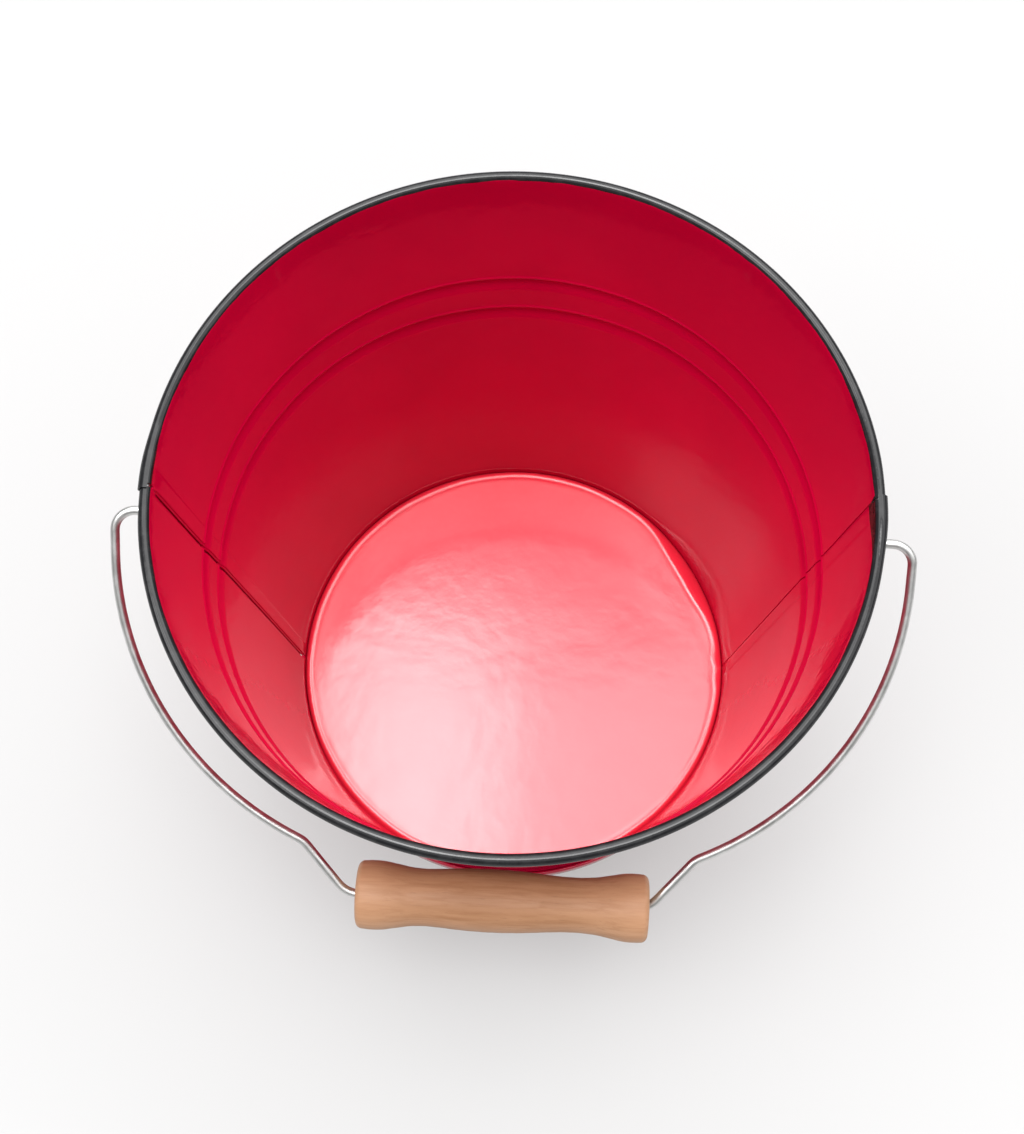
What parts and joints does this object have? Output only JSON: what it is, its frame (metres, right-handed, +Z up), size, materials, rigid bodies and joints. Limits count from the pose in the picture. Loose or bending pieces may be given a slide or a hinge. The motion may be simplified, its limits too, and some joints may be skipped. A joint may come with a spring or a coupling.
{
  "type": "wash bucket",
  "caption": "Open-topped tapered steel pail with a rolled rim, swaged beads, a raised base in a rolled foot, and a swinging wire bail with a turned wooden grip.",
  "frame": {"origin": "centre of the foot, on the plane that the pail stands on", "axes": "+Z up along the pail's axis; the ears and the bail's swing axis lie along X; the bail hangs against the front wall, towards -Y"},
  "size_m": [0.342, 0.3072, 0.2471],
  "materials": {
    "enamel_red": "gloss stoved paint, red, black on the rolled rim",
    "hoop_wire": "drawn",
    "sealing_compound": "matt",
    "bright_wire": "bright drawn and plated",
    "grip_wood": "thin clear coat, fine grain"
  },
  "bodies": {
    "pail": {"wall_front": "enamel_red", "wall_back": "enamel_red", "rim_wire": "hoop_wire", "base_pan": "enamel_red", "base_seal": "sealing_compound", "ear_left": "enamel_red", "ear_right": "enamel_red"},
    "bail": {"bail": "bright_wire"},
    "grip": {"grip": "grip_wood"}
  },
  "joints": [
    {"name": "bail_swing", "type": "hinge", "parent": "pail", "child": "bail", "pos_m": [0, 0, 0.207], "axis": [-1, 0, 0], "range_deg": [0, 248.83]},
    {"name": "grip_spin", "type": "hinge", "parent": "bail", "child": "grip", "pos_m": [0, -0.14181, 0.10984], "axis": [1, 0, 0], "continuous": true}
  ]
}
